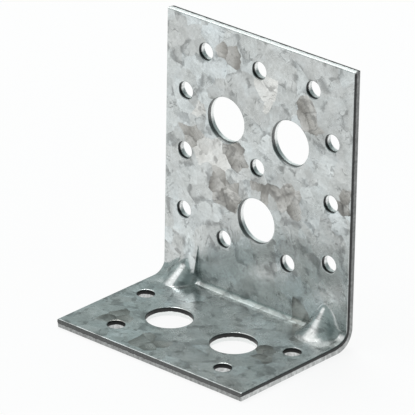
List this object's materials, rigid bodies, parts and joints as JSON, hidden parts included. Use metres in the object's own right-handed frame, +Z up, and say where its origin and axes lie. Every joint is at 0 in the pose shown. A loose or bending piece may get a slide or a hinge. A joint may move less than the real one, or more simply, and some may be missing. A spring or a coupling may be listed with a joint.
{
  "type": "corner brace bracket",
  "caption": "Folded galvanised steel angle bracket with pressed gussets in the bend and bolt and nail holes in both legs.",
  "frame": {"origin": "centre of the footprint, on the underside of the foot leg", "axes": "+X along the fold, +Y towards the back of the wall leg, +Z up the wall leg"},
  "size_m": [0.0654, 0.045, 0.08],
  "materials": {
    "galvanised_steel": "hot-dip zinc coating with visible spangle, bare sheared edges"
  },
  "bodies": {
    "root": {"angle_bracket": "galvanised_steel"}
  },
  "joints": []
}
